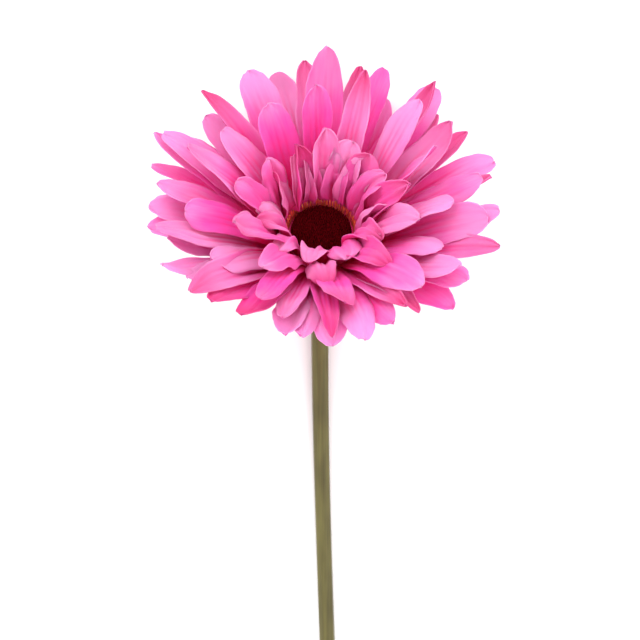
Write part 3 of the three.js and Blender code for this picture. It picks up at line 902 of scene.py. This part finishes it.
# %% [markdown]
# ## The stem
#
# The stem starts as one circle of edges, which is extruded ring by ring along the route. A curve with a
# bevel would follow the route too, but it could not carry ribs or a slanting cut. The last ring is slanted,
# and `holes_fill` closes both ends. The end on the +Y side is the cut, so it gets the second finish.

# %% Extrude the stem
STEM_SIDES = 48
RING_STEP = 1.5
RIBS = 9
RIB_HEIGHT = 0.05
RIB_TWIST = 0.02
CUT_SLANT = math.radians(35)

bm = bmesh.new()
bmesh.ops.create_circle(bm, segments=STEM_SIDES, radius=1)
rim = bm.verts[:]
spokes = [(vert.co.x, vert.co.y) for vert in rim]
place = BLOOM @ Vector((0, 0, -(CALYX_DEPTH + GAP)))
steps = round(STEM_LENGTH / RING_STEP)
for ring in range(steps + 1):
    gone = ring * STEM_LENGTH / steps
    along, level, up = stem_directions(gone)
    radius = stem_radius(gone)
    sunk = (STEM_RADIUS - radius) * RESTING
    for vert, (side, height) in zip(rim, spokes):
        ribs = RIB_HEIGHT * math.cos(RIBS * math.atan2(height, side) + RIB_TWIST * gone)
        swell = radius - RIB_HEIGHT + ribs
        point = place + swell * (side * level + height * up)
        if ring == steps:
            point += swell * height * math.tan(CUT_SLANT) * along
        point.z -= sunk
        vert.co = point * MM
    if ring < steps:
        edges = [edge for edge in bm.edges if edge.verts[0] in rim and edge.verts[1] in rim]
        made = bmesh.ops.extrude_edge_only(bm, edges=edges)["geom"]
        fresh = {vert for vert in made if isinstance(vert, bmesh.types.BMVert)}
        rim = [next(e.other_vert(v) for e in v.link_edges if e.other_vert(v) in fresh) for v in rim]
        place = place + stem_directions(gone + 0.5 * STEM_LENGTH / steps)[0] * STEM_LENGTH / steps
bmesh.ops.holes_fill(bm, edges=bm.edges[:], sides=STEM_SIDES)
bmesh.ops.recalc_face_normals(bm, faces=bm.faces[:])
for face in bm.faces:
    is_cut = len(face.verts) == STEM_SIDES and face.calc_center_median().y > 0
    face.material_index = 1 if is_cut else 0
make_piece(bm, "stem_skin", "stem", stem_finish.material, extra=cut_finish.material)

# %% [markdown]
# ## Table and light
#
# The table is plain and pale, and the light is that of a soft tent: a large lamp above the bloom, a weaker
# one from the other side, and white all round, so shadows stay faint.

# %% Stage
TABLE_HALF = 3.0
TENT_LIGHT = 1.42

bm = bmesh.new()
bmesh.ops.create_grid(bm, x_segments=1, y_segments=1, size=TABLE_HALF)
mesh = bpy.data.meshes.new("table")
bm.to_mesh(mesh)
bm.free()
table_finish = Finish("table_white", Roughness=0.9, Base_Color=(0.97, 0.97, 0.97, 1))
mesh.materials.append(table_finish.material)
table = bpy.data.objects.new("table", mesh)
bpy.context.scene.collection.objects.link(table)


def lamp(name, place, size, power):
    """A square soft lamp at a place, turned to the bloom."""
    light = bpy.data.lights.new(name, "AREA")
    light.size = size
    light.energy = power
    source = bpy.data.objects.new(name, light)
    source.location = place
    source.rotation_euler = (BLOOM.translation * MM - Vector(place)).to_track_quat("-Z", "Y").to_euler()
    bpy.context.scene.collection.objects.link(source)
    print(name, "lamp,", power, "W")


lamp("key", place=(0.25, -0.75, 0.95), size=0.7, power=4.2)
lamp("fill", place=(-0.6, 0.1, 0.8), size=0.8, power=2.0)
world = bpy.data.worlds.new("tent")
world.use_nodes = True
world.node_tree.nodes["Background"].inputs["Color"].default_value = (1, 1, 1, 1)
world.node_tree.nodes["Background"].inputs["Strength"].default_value = TENT_LIGHT
bpy.context.scene.world = world
bpy.context.scene.view_settings.view_transform = "Standard"

# %% [markdown]
# ## Camera
#
# The camera hangs over the flower and looks straight down, with the bloom at the top of the picture and the
# stem running out of it at the bottom. A long lens keeps the nearest petals from looking too large.

# %% Camera
CAMERA_HEIGHT = 557.8
CAMERA_BEHIND = 26
LENS = 100

camera_data = bpy.data.cameras.new("camera")
camera_data.lens = LENS
camera = bpy.data.objects.new("camera", camera_data)
camera.location = Vector((0, BLOOM_Y + CAMERA_BEHIND, CAMERA_HEIGHT)) * MM
camera.rotation_euler = (0, 0, math.pi)
bpy.context.scene.collection.objects.link(camera)
bpy.context.scene.camera = camera
print("the camera hangs", CAMERA_HEIGHT, "mm over the table")
